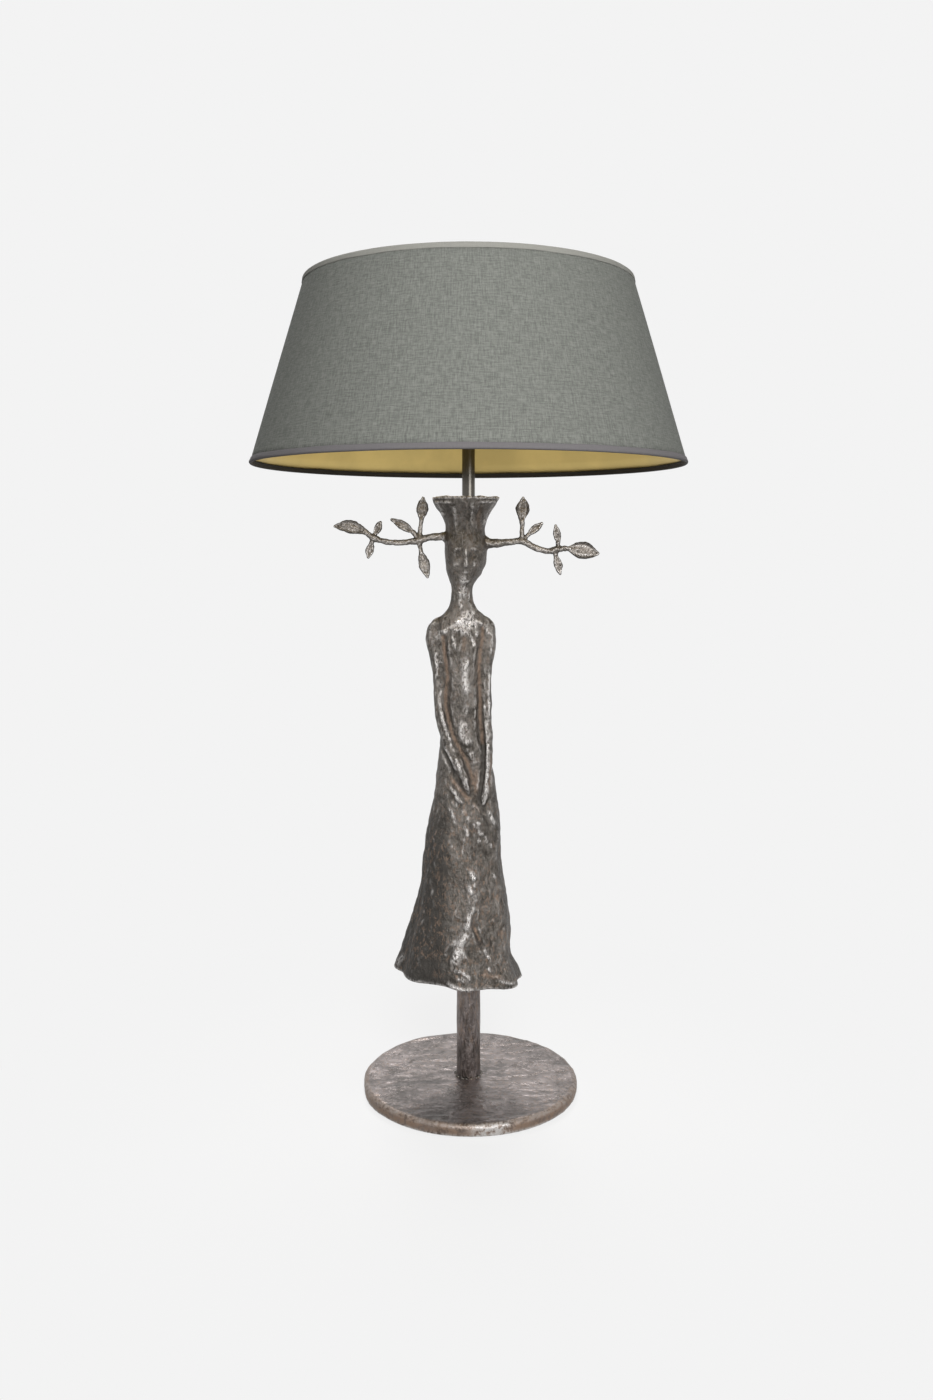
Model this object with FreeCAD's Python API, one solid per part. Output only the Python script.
import FreeCAD, Part
import os
from math import cos, sin, pi, hypot, sqrt

# Figural table lamp: a cast bronze figure of a standing woman on a post and a round disc, two leafy twigs
# brazed to the sides of her head, and a conical linen shade on a thin rod that rises out of the cup she
# carries on her head. Millimetres, +Z up. The figure faces -Y, and the origin is the middle of the underside.

# ---------------------------------------------------------------- driving dimensions
SHADE_BOTTOM_R = 200.3
SHADE_TOP_R = 152.8
SHADE_BOTTOM_Z = 573.9
SHADE_TOP_Z = 744.0
BASE_R = 98.0
BASE_TOP_Z = 11.5
POST_R = 11.0
ROD_R = 6.0
THREAD_R = 4.0
CUP_RIM_Z = 544.5
HOLDER_Z = 599.0

# ---------------------------------------------------------------- base
FELT_R = 91.0
FELT_THICKNESS = 1.5
BASE_SHIFT_X = 1.6
BASE_SHIFT_Y = -1.6
BASE_EDGE_TOP_R = 4.0
BASE_EDGE_BOTTOM_R = 1.2
POST_SEAT_DEPTH = 2.0
SCREW_R = 4.0
SCREW_HEAD_R = 7.0
SCREW_HEAD_HEIGHT = 3.6
SCREW_TIP_Z = 27.0
SCREW_KEY_R = 2.4
SCREW_KEY_DEPTH = 2.2

# ---------------------------------------------------------------- post
POST_BORE_R = 8.0
POST_TOP_Z = 193.0
LOWER_PLUG_TOP_Z = 28.0
UPPER_PLUG_BOTTOM_Z = 179.0
BEAD_R = 1.6
CORD_HOLE_Z = 38.0
CORD_BORE_R = 3.2
BUSH_R = 4.6
BUSH_FLANGE_R = 6.2
BUSH_FLANGE_THICKNESS = 1.8
BUSH_INNER_Y = 6.2
BUSH_PROUD = 0.6

# ---------------------------------------------------------------- figure
FIT = 0.05
SKIRT_WALL = 5.0
SKIRT_CAVITY_TOP_Z = 181.0
SOCKET_ROOM = 5.0
HEM_TILT = 0.095
CORD_PASSAGE_R = 3.0
NIPPLE_BOTTOM_Z = 181.0
NIPPLE_TOP_Z = 214.0
HEAD_TUBE_BOTTOM_Z = 505.0
CUP_FLOOR_Z = 523.0
CUP_FLOOR_R = 12.0
CUP_WALL = 3.2
CUP_FLOOR_SHIFT = -1.0
SECTION_POINTS = 20
LIMB_POINTS = 12

# Body outline from the hem to the lip of the cup: height, middle in X, half width, half depth, fold depth.
BODY_STATIONS = [
    (104.5, -8.8, 57.7, 39.5, 3.0),
    (113.0, -9.4, 55.0, 38.7, 2.6),
    (125.0, -10.6, 49.8, 37.4, 2.1),
    (142.0, -8.2, 47.0, 35.5, 1.7),
    (165.0, -5.9, 43.0, 33.0, 1.2),
    (193.0, -4.8, 37.6, 29.5, 0.9),
    (218.0, -5.5, 35.2, 26.5, 0.6),
    (248.0, -3.5, 32.4, 23.5, 0.3),
    (276.0, -2.9, 27.9, 20.8, 0.0),
    (301.0, -3.5, 24.9, 18.4, 0.0),
    (325.0, -3.6, 21.6, 16.8, 0.0),
    (353.0, -5.2, 19.4, 16.4, 0.0),
    (381.0, -6.2, 20.4, 17.0, 0.0),
    (403.0, -6.6, 24.0, 16.4, 0.0),
    (417.0, -6.8, 26.4, 14.4, 0.0),
    (426.0, -6.7, 25.6, 12.8, 0.0),
    (432.0, -6.2, 22.6, 11.6, 0.0),
    (436.5, -5.2, 18.8, 10.8, 0.0),
    (441.0, -5.6, 13.8, 10.2, 0.0),
    (446.0, -5.9, 10.9, 9.7, 0.0),
    (452.0, -5.8, 9.8, 9.5, 0.0),
    (459.0, -5.9, 9.4, 10.0, 0.0),
    (466.0, -5.8, 11.0, 12.2, 0.0),
    (473.0, -4.2, 14.9, 15.4, 0.0),
    (483.0, -2.8, 18.1, 18.4, 0.0),
    (493.0, -2.3, 19.5, 19.5, 0.0),
    (503.0, -2.3, 19.4, 19.5, 0.0),
    (511.0, -2.9, 17.9, 18.2, 0.0),
    (517.0, -3.0, 17.8, 17.9, 0.0),
    (524.0, -2.9, 19.8, 19.6, 0.0),
    (531.0, -3.1, 23.6, 23.0, 0.0),
    (538.0, -3.2, 28.6, 28.0, 0.0),
    (CUP_RIM_Z, -2.4, 31.5, 31.0, 0.0),
]
SECTION_POWER = 2.15
FOLD_COUNT = 7
FOLD_PHASE = 3.98

# Arms: points of the middle line (X, Y, Z) with the radius there, from the shoulder to the finger tips.
LEFT_OF_VIEW_ARM = [
    ((-21.0, -0.5, 432.6), 4.0),
    ((-28.3, -0.8, 427.0), 7.4),
    ((-31.2, -1.0, 415.0), 8.7),
    ((-29.0, -1.6, 403.0), 8.1),
    ((-26.5, -2.8, 388.0), 7.6),
    ((-25.4, -4.6, 363.0), 6.9),
    ((-23.0, -7.5, 338.0), 6.2),
    ((-16.4, -14.0, 311.0), 5.4),
    ((-8.6, -19.0, 288.0), 4.8),
    ((-1.6, -21.5, 274.0), 5.4),
    ((2.0, -22.5, 265.0), 2.6),
]
RIGHT_OF_VIEW_ARM = [
    ((7.5, -0.5, 433.0), 4.0),
    ((15.2, -0.8, 427.4), 7.3),
    ((17.4, -1.0, 415.0), 8.2),
    ((16.5, -1.6, 403.0), 7.9),
    ((14.7, -2.8, 388.0), 7.1),
    ((14.2, -4.8, 363.0), 6.7),
    ((15.2, -8.0, 338.0), 6.3),
    ((15.6, -12.5, 311.0), 5.5),
    ((16.2, -18.0, 283.0), 4.7),
    ((16.6, -20.5, 266.0), 5.0),
    ((16.0, -21.5, 256.0), 2.4),
]
# Middle line of the passage cast in the figure for the cord, in the X-Z plane.
CORD_PASSAGE = [(0.0, 208.0), (-5.8, 436.0), (-5.8, 466.0), (0.0, 507.0)]

# ---------------------------------------------------------------- twigs
# Middle line of each twig in the X-Z plane with its radius, from inside the head to the last leaf.
TWIG_Y = -1.0
LEFT_TWIG = [
    ((-16.0, 508.6), 4.6),
    ((-24.0, 508.8), 3.9),
    ((-33.0, 508.4), 3.3),
    ((-45.4, 505.4), 3.4),
    ((-63.5, 503.2), 2.6),
    ((-77.3, 504.3), 2.6),
    ((-87.5, 507.4), 3.2),
    ((-95.0, 512.6), 2.3),
]
RIGHT_TWIG = [
    ((10.0, 503.6), 5.4),
    ((20.8, 502.4), 4.8),
    ((30.1, 503.0), 3.6),
    ((41.2, 504.0), 3.0),
    ((49.6, 504.8), 3.4),
    ((57.0, 500.8), 2.9),
    ((66.2, 496.8), 2.9),
    ((75.5, 495.4), 2.9),
    ((82.9, 497.2), 3.1),
    ((93.0, 497.6), 2.3),
]
# Leaves: stalk start (X, Z), blade start (X, Z), tip (X, Z), blade width, bend of the middle line.
LEFT_LEAVES = [
    ((-45.4, 506.0), (-43.6, 525.0), (-41.8, 545.4), 11.0, 0.0),
    ((-46.5, 507.0), (-51.0, 512.5), (-72.2, 525.0), 8.4, -0.8),
    ((-45.4, 504.0), (-43.8, 494.0), (-37.6, 470.2), 10.4, 0.0),
    ((-88.0, 506.0), (-87.0, 510.5), (-80.6, 522.8), 7.2, 0.0),
    ((-88.0, 508.0), (-89.6, 503.0), (-92.9, 488.6), 8.0, 0.0),
    ((-92.0, 510.5), (-95.0, 513.0), (-124.8, 518.4), 12.6, -2.4),
]
RIGHT_LEAVES = [
    ((49.6, 505.0), (49.6, 524.0), (50.8, 545.4), 12.6, 0.0),
    ((51.0, 505.0), (55.0, 510.4), (68.8, 521.3), 7.2, 0.6),
    ((83.0, 497.0), (83.0, 503.0), (80.4, 520.0), 7.4, 0.0),
    ((82.0, 497.5), (80.8, 492.0), (84.9, 473.4), 8.0, 0.0),
    ((89.0, 497.3), (93.0, 497.6), (120.4, 492.8), 16.4, 0.8),
]
STALK_R = 2.1
LEAF_THICKNESS = 3.0
# Leaf outline: share of the length, half width as a share of the width, half thickness as a share of it.
LEAF_OUTLINE = [(0.0, 0.18, 0.55), (0.2, 0.35, 0.5), (0.45, 0.5, 0.5), (0.78, 0.32, 0.42), (1.0, 0.05, 0.18)]

# ---------------------------------------------------------------- rod, nut and lampholder
CUP_WASHER_R = 9.0
CUP_WASHER_THICKNESS = 1.5
NUT_ACROSS_FLATS = 13.0
NUT_HEIGHT = 6.0
THREADED_TUBE_BORE_R = 2.9
HOLDER_ENTRY_R = 8.5
HOLDER_R = 19.6
HOLDER_THREAD_R = 20.0
HOLDER_CAP_TOP_Z = HOLDER_Z + 22.0
HOLDER_TOP_Z = HOLDER_Z + 56.0
HOLDER_WALL = 1.6
# Dome of the holder's cap outside and inside: radius, height above the foot of the holder.
DOME_OUTSIDE = [(HOLDER_ENTRY_R, 4.0), (14.0, 7.5), (18.0, 12.0), (HOLDER_R, 17.0)]
DOME_INSIDE = [(HOLDER_R - HOLDER_WALL, 16.5), (16.0, 13.0), (12.0, 9.5)]
HOLDER_ENTRY_HEIGHT = 8.0
TUBE_ABOVE_HOLDER_FOOT = 9.0
SHELL_R = HOLDER_R - 0.6
SHELL_COLLAR_INNER_R = HOLDER_R - HOLDER_WALL - 1.0
SHELL_COLLAR_HEIGHT = 4.0
SOCKET_BORE_R = 13.3
INSERT_TOP_Z = HOLDER_Z + 25.0
INSERT_THICKNESS = 8.0
RING_RIDGES = 8
RING_RIDGE_PITCH = 3.0
RING_RIDGE_ROOT_R = HOLDER_R - 1.0
# Heights of the corners of one ridge, from its foot up.
RING_RIDGE_HEIGHTS = [0.0, 0.8, 1.4, 2.2]
FIRST_RIDGE_HEIGHT = 5.0
TERMINAL_X = 10.0
TERMINAL_BORE_R = 1.6
TERMINAL_BORE_ROOF = 2.0
TERMINAL_SHANK_R = 1.5
TERMINAL_HEAD_R = 2.6
TERMINAL_HEAD_HEIGHT = 1.6
TERMINAL_GAP = 0.2
TONGUE_WIDTH = 5.0
TONGUE_THICKNESS = 0.6
# Underside of the centre contact: X, height above the porcelain.
TONGUE_UNDERSIDE = [(-9.0, 0.0), (-5.0, 0.0), (-4.0, 1.4), (4.0, 1.4)]
TONGUE_TOP = [(4.0, 2.0), (-4.4, 2.0), (-5.6, 0.6), (-9.0, 0.6)]
TAB_GAP = 0.2
TAB_WIDTH = 4.0
TAB_FOOT = 4.0
TAB_HEIGHT = 7.9
TAB_THICKNESS = 0.7
LOWER_RING_R = 27.0
UPPER_RING_R = 25.0
RING_HEIGHT = 5.0
RING_GRIPS = 14
GRIP_R = 1.3
GRIP_OUTWARDS = 0.5
RING_GAP = 0.3
LOCK_SCREW_R = 1.5
LOCK_SCREW_HEIGHT = 2.0
LOCK_SCREW_PROUD = 0.6
LOCK_SLOT = 0.5

# ---------------------------------------------------------------- shade and its frame
FITTER_Z = HOLDER_Z + 35.0
FITTER_R = 31.0
FITTER_BORE_R = 20.4
FITTER_THICKNESS = 1.5
SPOKE_R = 1.1
SPOKE_COUNT = 3
SPOKE_START_R = 26.8
SPOKE_BEND_R = 37.0
SPOKE_FIRST_ANGLE = 90.0
WIRE_R = 1.1
TAPE_THICKNESS = 0.6
TAPE_WIDTH = 3.5
TAPE_FACETS = 16
FABRIC_THICKNESS = 0.8
LINING_THICKNESS = 0.5

# ---------------------------------------------------------------- bulb
BULB_BOTTOM_Z = INSERT_TOP_Z + 2.3
BULB_CAP_R = SOCKET_BORE_R - FIT
BULB_R = 30.0
BULB_TOP_Z = 729.0
GLASS_WALL = 0.9
CAP_RIDGES = 4
CAP_RIDGE_PITCH = 3.6
FILAMENT_COUNT = 4
FILAMENT_LENGTH = 34.0
FILAMENT_LEAN = 0.12
STEM_LENGTH = 52.0
CAP_FOOT_HEIGHT = 5.0
CAP_WALL = 1.5
CAP_NECK_DRAW = 0.6
CAP_NECK_HEIGHT = 1.2
# One ridge of the cap: how far in from its radius, height above the ridge's foot.
CAP_RIDGE = [(1.0, 0.0), (0.0, 1.3), (0.0, 2.0)]
CAP_FIRST_RIDGE = 1.0
CAP_ABOVE_RIDGES = 3.0
CAP_EDGE_DRAW = 1.2
TIP_R = 3.0
TIP_HEIGHT = 1.2
INSULATOR_TIP_R = 4.0
INSULATOR_SHOULDER = (6.0, 2.4)
INSULATOR_TOP = 8.0
# Envelope: heights above the foot of the bulb's neck, and the flare over the cap.
NECK_FOOT_HEIGHT = 14.0
NECK_LENGTH = 18.0
FLARE_HEIGHT = 34.0
FLARE_OUTWARDS = 3.6
SHOULDER_SHARE = 0.90
SHOULDER_DROP = 14.0
# Stem: radius, height above its foot.
STEM_OUTLINE = [(6.0, 0.0), (3.0, 10.0), (2.0, STEM_LENGTH)]
FILAMENT_R = 0.9
FILAMENT_CIRCLE_R = 7.0
FILAMENT_HEIGHT = 40.0
FILAMENT_WIRE_R = 0.4
FILAMENT_WIRE_SHARES = (0.1, 0.6)
FILAMENT_FIRST_ANGLE = 45.0
COLLAR_R = 3.4
COLLAR_HALF_HEIGHT = 1.0

Z_AXIS = FreeCAD.Vector(0, 0, 1)
ORIGIN = FreeCAD.Vector(0, 0, 0)


# ---------------------------------------------------------------- helpers
def vec(x, y, z):
    return FreeCAD.Vector(x, y, z)


def save(shape, node):
    """Writes one node, and stops if a solid of it isn't sound."""
    solids = shape.Solids
    if not solids or not all(s.isValid() and s.Volume > 0 for s in solids):
        raise ValueError(node + " is not a sound solid")
    shape.exportStep(os.path.join("parts", node + ".step"))
    print(f"{node:24s} solids {len(solids)}  volume {shape.Volume / 1000.0:9.3f} cm3")


def cylinder(radius, bottom, top, x=0.0, y=0.0):
    return Part.makeCylinder(radius, top - bottom, vec(x, y, bottom))


def pipe(outer, inner, bottom, top):
    return cylinder(outer, bottom, top).cut(cylinder(inner, bottom, top))


def turned(points):
    """A solid turned about the Z axis from an outline of (radius, height) points."""
    corners = [vec(r, 0, z) for r, z in points]
    face = Part.Face(Part.makePolygon(corners + corners[:1]))
    return face.revolve(ORIGIN, Z_AXIS, 360)


def closed_curve(points):
    curve = Part.BSplineCurve()
    curve.interpolate(Points=points, PeriodicFlag=True)
    return Part.Wire(curve.toShape())


def hexagon(across_flats, bottom, top):
    corner = across_flats / sqrt(3.0)
    ring = [vec(corner * cos(pi * k / 3), corner * sin(pi * k / 3), bottom) for k in range(7)]
    return Part.Face(Part.makePolygon(ring)).extrude(vec(0, 0, top - bottom))


def around(shape, count, first=0.0):
    """The shape repeated evenly about the Z axis."""
    copies = []
    for k in range(count):
        copy = shape.copy()
        copy.rotate(ORIGIN, Z_AXIS, first + 360.0 * k / count)
        copies.append(copy)
    return copies


# ---------------------------------------------------------------- base and post
def base_felt():
    return cylinder(FELT_R, 0.0, FELT_THICKNESS, BASE_SHIFT_X, BASE_SHIFT_Y)


def base_disc():
    """Cast disc with rounded edges, a seat for the post and a countersunk hole for its screw."""
    disc = cylinder(BASE_R, FELT_THICKNESS, BASE_TOP_Z, BASE_SHIFT_X, BASE_SHIFT_Y)
    top_edge = [e for e in disc.Edges if abs(e.BoundBox.ZMin - BASE_TOP_Z) < FIT and e.Closed]
    disc = disc.makeFillet(BASE_EDGE_TOP_R, top_edge)
    bottom_edge = [e for e in disc.Edges if abs(e.BoundBox.ZMax - FELT_THICKNESS) < FIT and e.Closed]
    disc = disc.makeFillet(BASE_EDGE_BOTTOM_R, bottom_edge)
    disc = disc.cut(cylinder(POST_R + FIT, BASE_TOP_Z - POST_SEAT_DEPTH, BASE_TOP_Z))
    disc = disc.cut(cylinder(SCREW_R + FIT, FELT_THICKNESS, BASE_TOP_Z))
    return disc.cut(cylinder(SCREW_HEAD_R + FIT, FELT_THICKNESS, FELT_THICKNESS + SCREW_HEAD_HEIGHT))


def base_screw():
    """Cap screw that pulls the post down on the disc, its head let into the underside."""
    head_bottom = FELT_THICKNESS + FIT
    head_top = FELT_THICKNESS + SCREW_HEAD_HEIGHT
    screw = cylinder(SCREW_HEAD_R, head_bottom, head_top).fuse(cylinder(SCREW_R, head_top, SCREW_TIP_Z))
    return screw.cut(hexagon(2 * SCREW_KEY_R, head_bottom, head_bottom + SCREW_KEY_DEPTH))


def post_tube():
    """Tube from the disc up into the skirt, with the hole where the cord comes out at the back."""
    tube = pipe(POST_R, POST_BORE_R, BASE_TOP_Z - POST_SEAT_DEPTH, POST_TOP_Z)
    hole = Part.makeCylinder(BUSH_R + FIT, POST_R + 1.0, vec(0, 0, CORD_HOLE_Z), vec(0, 1, 0))
    return tube.cut(hole)


def weld_bead():
    """Ring of weld between the post and the top of the disc."""
    ring = Part.makeTorus(POST_R + BEAD_R / 2, BEAD_R, vec(0, 0, BASE_TOP_Z), Z_AXIS)
    above = cylinder(POST_R + 4 * BEAD_R, BASE_TOP_Z, BASE_TOP_Z + 4 * BEAD_R)
    return ring.common(above).cut(cylinder(POST_R, 0.0, POST_TOP_Z))


def lower_plug():
    """Tapped plug in the foot of the post."""
    bottom = BASE_TOP_Z - POST_SEAT_DEPTH
    plug = cylinder(POST_BORE_R - FIT, bottom, LOWER_PLUG_TOP_Z)
    return plug.cut(cylinder(SCREW_R + FIT, bottom, SCREW_TIP_Z + FIT))


def upper_plug():
    """Bored plug in the head of the post, which holds the nipple that the figure is screwed on."""
    return pipe(POST_BORE_R - FIT, THREAD_R + FIT, UPPER_PLUG_BOTTOM_Z, POST_TOP_Z)


def figure_nipple():
    """Hollow threaded nipple from the plug of the post into the figure."""
    return pipe(THREAD_R, THREADED_TUBE_BORE_R, NIPPLE_BOTTOM_Z, NIPPLE_TOP_Z)


def cord_bush():
    """Bush in the back of the post, where the cord comes out."""
    start = vec(0, BUSH_INNER_Y, CORD_HOLE_Z)
    length = POST_R + BUSH_FLANGE_THICKNESS + BUSH_PROUD - BUSH_INNER_Y
    body = Part.makeCylinder(BUSH_R, length, start, vec(0, 1, 0))
    flange_start = vec(0, BUSH_INNER_Y + length - BUSH_FLANGE_THICKNESS, CORD_HOLE_Z)
    flange = Part.makeCylinder(BUSH_FLANGE_R, BUSH_FLANGE_THICKNESS, flange_start, vec(0, 1, 0))
    flange = flange.cut(cylinder(POST_R, 0.0, POST_TOP_Z))
    return body.fuse(flange).cut(Part.makeCylinder(CORD_BORE_R, length, start, vec(0, 1, 0)))


# ---------------------------------------------------------------- figure
def body_section(height, middle, half_width, half_depth, fold):
    """A closed outline across the body: a soft oval with the skirt's folds on it, tilted at the hem."""
    points = []
    for k in range(SECTION_POINTS):
        angle = 2 * pi * k / SECTION_POINTS
        c = cos(angle)
        s = sin(angle)
        oval = (abs(c) ** SECTION_POWER + abs(s) ** SECTION_POWER) ** (-1.0 / SECTION_POWER)
        ripple = fold * cos(FOLD_COUNT * angle + FOLD_PHASE)
        x = (half_width * oval + ripple) * c
        y = (half_depth * oval + ripple) * s
        tilt = -HEM_TILT * x * fold / BODY_STATIONS[0][4]
        points.append(vec(middle + x, y, height + tilt))
    return closed_curve(points)


def body_solid():
    return Part.makeLoft([body_section(*station) for station in BODY_STATIONS], True, False)


def swept(path):
    """A solid along a list of (point, half width in the X-Z plane, half depth across it)."""
    rings = []
    for k, (centre, half_width, half_depth) in enumerate(path):
        ahead = path[min(k + 1, len(path) - 1)][0]
        behind = path[max(k - 1, 0)][0]
        along = (ahead - behind).normalize()
        side = along.cross(vec(0, 1, 0)).normalize()
        depth = side.cross(along).normalize()
        turns = [2 * pi * n / LIMB_POINTS for n in range(LIMB_POINTS)]
        places = [centre + side * (half_width * cos(t)) + depth * (half_depth * sin(t)) for t in turns]
        rings.append(closed_curve(places))
    return Part.makeLoft(rings, True, False)


def limb(path):
    """A round limb that follows a list of (point, radius)."""
    return swept([(vec(*point), radius, radius) for point, radius in path])


def skirt_cavity():
    """The hollow under the skirt, one wall thickness inside it."""
    below = SKIRT_WALL * 2
    rings = []
    for height, middle, half_width, half_depth, _ in BODY_STATIONS:
        if height > SKIRT_CAVITY_TOP_Z:
            break
        rings.append((height, middle, half_width - SKIRT_WALL, half_depth - SKIRT_WALL, 0.0))
    first = rings[0]
    rings.insert(0, (first[0] - below, *first[1:]))
    height, middle, half_width, half_depth, _ = rings[-1]
    shrink = SKIRT_CAVITY_TOP_Z - height
    rings.append((SKIRT_CAVITY_TOP_Z, middle, half_width - shrink / 2, half_depth - shrink / 2, 0.0))
    return Part.makeLoft([body_section(*ring) for ring in rings], True, False)


def cup_cavity():
    """The hollow of the cup on her head."""
    lip_r = BODY_STATIONS[-1][2] - CUP_WALL
    over = 2.0
    slope = (lip_r - CUP_FLOOR_R) / (CUP_RIM_Z - CUP_FLOOR_Z)
    return Part.makeCone(
        CUP_FLOOR_R,
        lip_r + slope * over,
        CUP_RIM_Z + over - CUP_FLOOR_Z,
        vec(CUP_FLOOR_SHIFT, 0, CUP_FLOOR_Z),
    )


def cord_passage():
    """Bent hole through the figure, from the nipple at her feet to the threaded tube in her head."""
    corners = [vec(x, 0, z) for x, z in CORD_PASSAGE]
    hole = None
    for start, end in zip(corners[:-1], corners[1:]):
        run = Part.makeCylinder(CORD_PASSAGE_R, (end - start).Length, start, end - start)
        run = run.fuse(Part.makeSphere(CORD_PASSAGE_R, end))
        hole = run if hole is None else hole.fuse(run)
    return hole


def figure_casting():
    figure = body_solid()
    for arm in (LEFT_OF_VIEW_ARM, RIGHT_OF_VIEW_ARM):
        figure = figure.fuse(limb(arm))
    figure = figure.cut(skirt_cavity())
    figure = figure.cut(cylinder(POST_R + FIT, SKIRT_CAVITY_TOP_Z - SOCKET_ROOM, POST_TOP_Z))
    figure = figure.cut(cylinder(THREAD_R + FIT, POST_TOP_Z, NIPPLE_TOP_Z))
    figure = figure.cut(cylinder(THREAD_R + FIT, HEAD_TUBE_BOTTOM_Z, CUP_FLOOR_Z))
    figure = figure.cut(cord_passage())
    return figure.cut(cup_cavity())


def leaf(stalk_start, blade_start, tip, width, bend):
    """A flat pointed leaf on a short stalk, both in the plane of the twig."""
    foot = vec(stalk_start[0], TWIG_Y, stalk_start[1])
    neck = vec(blade_start[0], TWIG_Y, blade_start[1])
    end = vec(tip[0], TWIG_Y, tip[1])
    along = end - neck
    across = along.cross(vec(0, 1, 0)).normalize()
    path = [(foot, STALK_R * 1.1, STALK_R), ((foot + neck) * 0.5, STALK_R, STALK_R)]
    for share, width_share, thickness_share in LEAF_OUTLINE:
        centre = neck + along * share + across * (bend * 4.0 * share * (1.0 - share))
        half_width = max(width * width_share, STALK_R * (1.0 - share))
        path.append((centre, half_width, LEAF_THICKNESS * thickness_share))
    return swept(path)


def twig(path, leaves, figure):
    """A twig with its leaves, cut to the side of the head that it is brazed to."""
    branch = limb([((x, TWIG_Y, z), radius) for (x, z), radius in path])
    for parts in leaves:
        branch = branch.fuse(leaf(*parts))
    return branch.cut(figure)


# ---------------------------------------------------------------- rod and lampholder
def threaded_tube():
    """Hollow threaded tube screwed in the head, which carries the rod and the lampholder."""
    return pipe(THREAD_R, THREADED_TUBE_BORE_R, HEAD_TUBE_BOTTOM_Z, HOLDER_Z + TUBE_ABOVE_HOLDER_FOOT)


def cup_washer():
    return pipe(CUP_WASHER_R, THREAD_R + FIT, CUP_FLOOR_Z, CUP_FLOOR_Z + CUP_WASHER_THICKNESS)


def cup_nut():
    bottom = CUP_FLOOR_Z + CUP_WASHER_THICKNESS
    return hexagon(NUT_ACROSS_FLATS, bottom, bottom + NUT_HEIGHT).cut(
        cylinder(THREAD_R + FIT, bottom, bottom + NUT_HEIGHT)
    )


def shade_rod():
    return pipe(ROD_R, THREAD_R + FIT, CUP_FLOOR_Z + CUP_WASHER_THICKNESS + NUT_HEIGHT, HOLDER_Z)


def holder_cap():
    """Domed lower half of the lampholder, screwed on the threaded tube."""
    outline = [(THREAD_R + FIT, HOLDER_Z), (HOLDER_ENTRY_R, HOLDER_Z)]
    outline += [(radius, HOLDER_Z + up) for radius, up in DOME_OUTSIDE]
    outline += [(HOLDER_R, HOLDER_CAP_TOP_Z), (HOLDER_R - HOLDER_WALL, HOLDER_CAP_TOP_Z)]
    outline += [(radius, HOLDER_Z + up) for radius, up in DOME_INSIDE]
    outline.append((THREAD_R + FIT, HOLDER_Z + HOLDER_ENTRY_HEIGHT))
    return turned(outline).cut(lock_screw_shape(LOCK_SCREW_R + FIT))


def lock_screw_shape(radius):
    """Radial screw through the entry of the cap, against the threaded tube."""
    start = vec(0, THREAD_R + FIT, HOLDER_Z + LOCK_SCREW_HEIGHT)
    return Part.makeCylinder(radius, HOLDER_ENTRY_R - THREAD_R + LOCK_SCREW_PROUD, start, vec(0, 1, 0))


def holder_lock_screw():
    """The lock screw, with a slot across its outer end."""
    end_y = HOLDER_ENTRY_R + FIT + LOCK_SCREW_PROUD
    corner = vec(-LOCK_SCREW_R, end_y - LOCK_SLOT, HOLDER_Z + LOCK_SCREW_HEIGHT - LOCK_SLOT / 2)
    return lock_screw_shape(LOCK_SCREW_R).cut(Part.makeBox(2 * LOCK_SCREW_R, LOCK_SLOT, LOCK_SLOT, corner))


def holder_shell():
    """Upper half of the lampholder: the socket, with ridges outside for the two shade rings."""
    collar_top = INSERT_TOP_Z + SHELL_COLLAR_HEIGHT
    shell = pipe(SHELL_R, SOCKET_BORE_R, INSERT_TOP_Z, HOLDER_TOP_Z)
    shell = shell.fuse(pipe(HOLDER_R, HOLDER_R - HOLDER_WALL, HOLDER_CAP_TOP_Z, INSERT_TOP_Z))
    shell = shell.fuse(pipe(HOLDER_R, SHELL_COLLAR_INNER_R, INSERT_TOP_Z, collar_top))
    for k in range(RING_RIDGES):
        bottom = INSERT_TOP_Z + FIRST_RIDGE_HEIGHT + k * RING_RIDGE_PITCH
        radii = [RING_RIDGE_ROOT_R, HOLDER_THREAD_R, HOLDER_THREAD_R, RING_RIDGE_ROOT_R]
        shell = shell.fuse(turned([(r, bottom + up) for r, up in zip(radii, RING_RIDGE_HEIGHTS)]))
    return shell


def holder_insert():
    """Porcelain disc that carries the contacts, with the two holes for the terminal screws."""
    bottom = INSERT_TOP_Z - INSERT_THICKNESS
    disc = cylinder(HOLDER_R - HOLDER_WALL - FIT, bottom, INSERT_TOP_Z)
    disc = disc.cut(cylinder(THREAD_R, bottom, INSERT_TOP_Z - INSERT_THICKNESS / 2))
    for x in (-TERMINAL_X, TERMINAL_X):
        disc = disc.cut(cylinder(TERMINAL_BORE_R, bottom, INSERT_TOP_Z - TERMINAL_BORE_ROOF, x))
    return disc


def terminal_screw(x):
    """Screw that clamps a conductor, its head below the porcelain."""
    bottom = INSERT_TOP_Z - INSERT_THICKNESS
    shank = cylinder(TERMINAL_SHANK_R, bottom, INSERT_TOP_Z - TERMINAL_BORE_ROOF - TERMINAL_GAP, x)
    return shank.fuse(cylinder(TERMINAL_HEAD_R, bottom - TERMINAL_HEAD_HEIGHT, bottom, x))


def centre_contact():
    """Springy brass tongue under the tip of the bulb."""
    corners = [vec(x, -TONGUE_WIDTH / 2, INSERT_TOP_Z + up) for x, up in TONGUE_UNDERSIDE + TONGUE_TOP]
    return Part.Face(Part.makePolygon(corners + corners[:1])).extrude(vec(0, TONGUE_WIDTH, 0))


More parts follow.
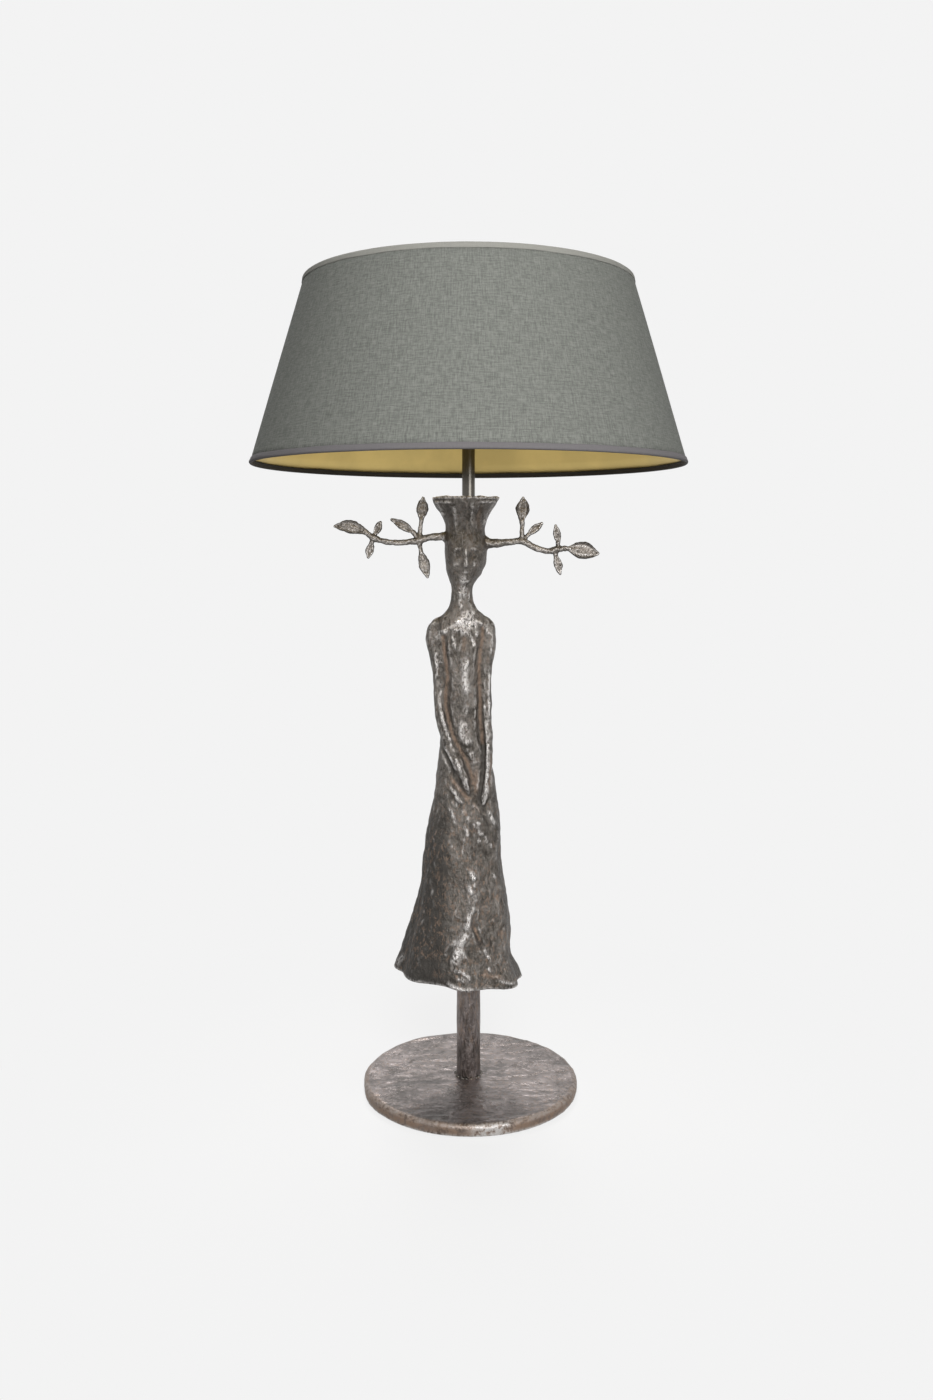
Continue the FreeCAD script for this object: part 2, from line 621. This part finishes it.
def side_contact():
    """Brass tab up the wall of the socket, beside the lower edge of the bulb's screw cap."""
    outer = SOCKET_BORE_R - TAB_GAP
    tab_corner = vec(outer - TAB_THICKNESS, -TAB_WIDTH / 2, INSERT_TOP_Z)
    foot_corner = vec(outer - TAB_FOOT, -TAB_WIDTH / 2, INSERT_TOP_Z)
    tab = Part.makeBox(TAB_THICKNESS, TAB_WIDTH, TAB_HEIGHT, tab_corner)
    return tab.fuse(Part.makeBox(TAB_FOOT, TAB_WIDTH, TONGUE_THICKNESS, foot_corner))


def shade_ring(radius, bottom):
    """Screw ring with finger grips round its edge."""
    ring = pipe(radius, HOLDER_THREAD_R + FIT, bottom, bottom + RING_HEIGHT)
    groove = cylinder(GRIP_R, bottom, bottom + RING_HEIGHT, radius + GRIP_OUTWARDS)
    for grip in around(groove, RING_GRIPS):
        ring = ring.cut(grip)
    return ring


# ---------------------------------------------------------------- bulb
def bulb_cap():
    """Screw cap with its round ridges, open at both ends."""
    bottom = BULB_BOTTOM_Z + CAP_FOOT_HEIGHT
    outer = [(BULB_CAP_R - CAP_EDGE_DRAW, bottom)]
    for k in range(CAP_RIDGES):
        start = bottom + CAP_FIRST_RIDGE + k * CAP_RIDGE_PITCH
        outer += [(BULB_CAP_R - draw, start + up) for draw, up in CAP_RIDGE]
    top = bottom + CAP_RIDGES * CAP_RIDGE_PITCH + CAP_ABOVE_RIDGES
    outer += [(BULB_CAP_R - CAP_NECK_DRAW, top - CAP_NECK_HEIGHT), (BULB_CAP_R - CAP_NECK_DRAW, top)]
    inner = [(BULB_CAP_R - CAP_WALL, top), (BULB_CAP_R - CAP_WALL, bottom)]
    return turned(outer + inner)


def bulb_insulator():
    """Glass-like cone between the cap and the tip contact."""
    shoulder_r, shoulder_height = INSULATOR_SHOULDER
    return turned(
        [
            (0.0, BULB_BOTTOM_Z + TIP_HEIGHT),
            (INSULATOR_TIP_R, BULB_BOTTOM_Z + TIP_HEIGHT),
            (shoulder_r, BULB_BOTTOM_Z + shoulder_height),
            (BULB_CAP_R - CAP_WALL, BULB_BOTTOM_Z + CAP_FOOT_HEIGHT),
            (BULB_CAP_R - CAP_WALL, BULB_BOTTOM_Z + INSULATOR_TOP),
            (0.0, BULB_BOTTOM_Z + INSULATOR_TOP),
        ]
    )


def bulb_tip_contact():
    top_z = BULB_BOTTOM_Z + TIP_HEIGHT
    return turned([(0.0, BULB_BOTTOM_Z), (TIP_R, BULB_BOTTOM_Z), (INSULATOR_TIP_R, top_z), (0.0, top_z)])


def envelope(inset):
    """The bulb's envelope as a solid, drawn in by inset."""
    neck_r = BULB_CAP_R - CAP_WALL - FIT - inset
    neck_z = BULB_BOTTOM_Z + NECK_FOOT_HEIGHT + inset
    ball_z = BULB_TOP_Z - BULB_R
    ball_r = BULB_R - inset
    curve = Part.BSplineCurve()
    curve.interpolate(
        Points=[
            vec(neck_r, 0, neck_z + NECK_LENGTH),
            vec(BULB_CAP_R + FLARE_OUTWARDS - inset, 0, neck_z + FLARE_HEIGHT),
            vec(BULB_R * SHOULDER_SHARE - inset, 0, ball_z - SHOULDER_DROP),
            vec(ball_r, 0, ball_z),
            vec(ball_r * cos(pi / 4), 0, ball_z + ball_r * sin(pi / 4)),
            vec(0, 0, BULB_TOP_Z - inset),
        ],
        InitialTangent=vec(0, 0, 1),
        FinalTangent=vec(-1, 0, 0),
    )
    neck = Part.makeLine(vec(neck_r, 0, neck_z), vec(neck_r, 0, neck_z + NECK_LENGTH))
    foot = Part.makeLine(vec(0, 0, neck_z), vec(neck_r, 0, neck_z))
    axis = Part.makeLine(vec(0, 0, BULB_TOP_Z - inset), vec(0, 0, neck_z))
    return Part.Face(Part.Wire([foot, neck, curve.toShape(), axis])).revolve(ORIGIN, Z_AXIS, 360)


def bulb_glass():
    return envelope(0.0).cut(envelope(GLASS_WALL))


def bulb_stem():
    """Glass stem that stands on the foot of the envelope and carries the filaments."""
    foot_z = BULB_BOTTOM_Z + NECK_FOOT_HEIGHT + GLASS_WALL
    outline = [(radius, foot_z + up) for radius, up in STEM_OUTLINE]
    return turned([(0.0, foot_z), *outline, (0.0, foot_z + STEM_LENGTH)])


def bulb_filaments():
    """Filament sticks round the stem, on wires from two collars."""
    low = BULB_BOTTOM_Z + FILAMENT_HEIGHT
    stick = Part.makeCylinder(
        FILAMENT_R, FILAMENT_LENGTH, vec(FILAMENT_CIRCLE_R, 0, low), vec(FILAMENT_LEAN, 0, 1)
    )
    cage = None
    for share in FILAMENT_WIRE_SHARES:
        up = FILAMENT_LENGTH * share
        level = low + up
        reach = FILAMENT_CIRCLE_R + FILAMENT_LEAN * up
        stick = stick.fuse(Part.makeCylinder(FILAMENT_WIRE_R, reach, vec(0, 0, level), vec(1, 0, 0)))
        collar = cylinder(COLLAR_R, level - COLLAR_HALF_HEIGHT, level + COLLAR_HALF_HEIGHT)
        cage = collar if cage is None else cage.fuse(collar)
    for arm in around(stick, FILAMENT_COUNT, FILAMENT_FIRST_ANGLE):
        cage = cage.fuse(arm)
    return cage.cut(bulb_stem())


# ---------------------------------------------------------------- shade
TAPE_R = WIRE_R + TAPE_THICKNESS
LOW_WIRE = (SHADE_BOTTOM_R - TAPE_R, SHADE_BOTTOM_Z + TAPE_R)
HIGH_WIRE = (SHADE_TOP_R - TAPE_R, SHADE_TOP_Z - TAPE_R)
SLANT = hypot(HIGH_WIRE[0] - LOW_WIRE[0], HIGH_WIRE[1] - LOW_WIRE[1])
WALL_HALF = (FABRIC_THICKNESS + LINING_THICKNESS) / 2
WIRE_GAP = WIRE_R + 0.1


def on_wall(along, out):
    """Point of the shade's section: how far up the slant from the low wire, and how far outwards from it."""
    up_r = (HIGH_WIRE[0] - LOW_WIRE[0]) / SLANT
    up_z = (HIGH_WIRE[1] - LOW_WIRE[1]) / SLANT
    return vec(LOW_WIRE[0] + along * up_r + out * up_z, 0, LOW_WIRE[1] + along * up_z - out * up_r)


def wall_strip(start, end, inner, outer):
    corners = [on_wall(start, inner), on_wall(end, inner), on_wall(end, outer), on_wall(start, outer)]
    return Part.Face(Part.makePolygon(corners + corners[:1]))


def wall_disc(along, radius):
    return Part.Face(Part.Wire(Part.makeCircle(radius, on_wall(along, 0.0), vec(0, 1, 0))))


def wall_turned(face):
    return face.revolve(ORIGIN, Z_AXIS, 360)


def shade_fabric():
    return wall_turned(wall_strip(WIRE_GAP, SLANT - WIRE_GAP, WALL_HALF - FABRIC_THICKNESS, WALL_HALF))


def shade_lining():
    return wall_turned(wall_strip(WIRE_GAP, SLANT - WIRE_GAP, -WALL_HALF, WALL_HALF - FABRIC_THICKNESS))


def ring_wire(along):
    return wall_turned(wall_disc(along, WIRE_R))


def wall_facets(along, radius):
    """A many-sided outline round a place on the section, its sides touching a circle of that radius."""
    corner_r = radius / cos(pi / TAPE_FACETS)
    turns = [2 * pi * k / TAPE_FACETS for k in range(TAPE_FACETS)]
    corners = [on_wall(along + corner_r * cos(turn), corner_r * sin(turn)) for turn in turns]
    return Part.Face(Part.makePolygon(corners + corners[:1]))


def edge_tape(along, towards):
    """Folded tape round a ring wire, with a leg on each face of the shade.

    towards is +1 where the legs point up the slant and -1 where they point down it.
    """
    end = along + towards * TAPE_WIDTH
    gap = along + towards * WIRE_GAP
    face = WALL_HALF + TAPE_THICKNESS
    legs = wall_strip(min(along, end), max(along, end), -face, face)
    tape = legs.fuse(wall_facets(along, TAPE_R)).removeSplitter().cut(wall_facets(along, WIRE_R))
    tape = tape.cut(wall_strip(min(gap, end), max(gap, end), -WALL_HALF, WALL_HALF))
    return wall_turned(tape.Faces[0])


def spoke():
    """One rod of the fitter, level on the fitter ring and then straight up to the high wire."""
    level = FITTER_Z + FITTER_THICKNESS + SPOKE_R
    bend = vec(SPOKE_BEND_R, 0, level)
    end = vec(HIGH_WIRE[0], 0, HIGH_WIRE[1])
    start = vec(SPOKE_START_R, 0, level)
    flat = Part.makeCylinder(SPOKE_R, SPOKE_BEND_R - SPOKE_START_R, start, vec(1, 0, 0))
    rise = Part.makeCylinder(SPOKE_R, (end - bend).Length, bend, end - bend)
    return flat.fuse(Part.makeSphere(SPOKE_R, bend)).fuse(rise)


def fitter_ring():
    return pipe(FITTER_R, FITTER_BORE_R, FITTER_Z, FITTER_Z + FITTER_THICKNESS)


def shade_parts():
    """The shade's pieces: the spokes end on the high wire, through notches in the tape and the lining."""
    high_wire = ring_wire(SLANT)
    spokes = [rod.cut(high_wire) for rod in around(spoke(), SPOKE_COUNT, SPOKE_FIRST_ANGLE)]
    spokes = [max(rod.Solids, key=lambda solid: solid.Volume) for rod in spokes]
    parts = {
        "shade_fabric": shade_fabric(),
        "shade_lining": shade_lining(),
        "shade_top_tape": edge_tape(SLANT, -1.0),
    }
    for node in parts:
        for rod in around(spoke(), SPOKE_COUNT, SPOKE_FIRST_ANGLE):
            parts[node] = parts[node].cut(rod)
    parts["shade_bottom_tape"] = edge_tape(0.0, 1.0)
    parts["shade_top_wire"] = high_wire
    parts["shade_bottom_wire"] = ring_wire(0.0)
    parts["fitter_ring"] = fitter_ring()
    for number, rod in enumerate(spokes, 1):
        parts[f"fitter_spoke_{number}"] = rod
    return parts


# ---------------------------------------------------------------- all nodes
def build():
    os.makedirs("parts", exist_ok=True)
    figure = figure_casting()
    nodes = {
        "base_felt": base_felt(),
        "base_disc": base_disc(),
        "base_screw": base_screw(),
        "post_tube": post_tube(),
        "post_weld_bead": weld_bead(),
        "post_lower_plug": lower_plug(),
        "post_upper_plug": upper_plug(),
        "cord_bush": cord_bush(),
        "figure_nipple": figure_nipple(),
        "figure_casting": figure,
        "left_twig": twig(LEFT_TWIG, LEFT_LEAVES, figure),
        "right_twig": twig(RIGHT_TWIG, RIGHT_LEAVES, figure),
        "threaded_tube": threaded_tube(),
        "cup_washer": cup_washer(),
        "cup_nut": cup_nut(),
        "shade_rod": shade_rod(),
        "holder_cap": holder_cap(),
        "holder_lock_screw": holder_lock_screw(),
        "holder_shell": holder_shell(),
        "holder_insert": holder_insert(),
        "terminal_screw_1": terminal_screw(-TERMINAL_X),
        "terminal_screw_2": terminal_screw(TERMINAL_X),
        "centre_contact": centre_contact(),
        "side_contact": side_contact(),
        "lower_shade_ring": shade_ring(LOWER_RING_R, FITTER_Z - RING_GAP - RING_HEIGHT),
        "upper_shade_ring": shade_ring(UPPER_RING_R, FITTER_Z + FITTER_THICKNESS + RING_GAP),
        "bulb_cap": bulb_cap(),
        "bulb_insulator": bulb_insulator(),
        "bulb_tip_contact": bulb_tip_contact(),
        "bulb_glass": bulb_glass(),
        "bulb_stem": bulb_stem(),
        "bulb_filaments": bulb_filaments(),
    }
    nodes.update(shade_parts())
    for node, shape in nodes.items():
        save(shape, node)


build()
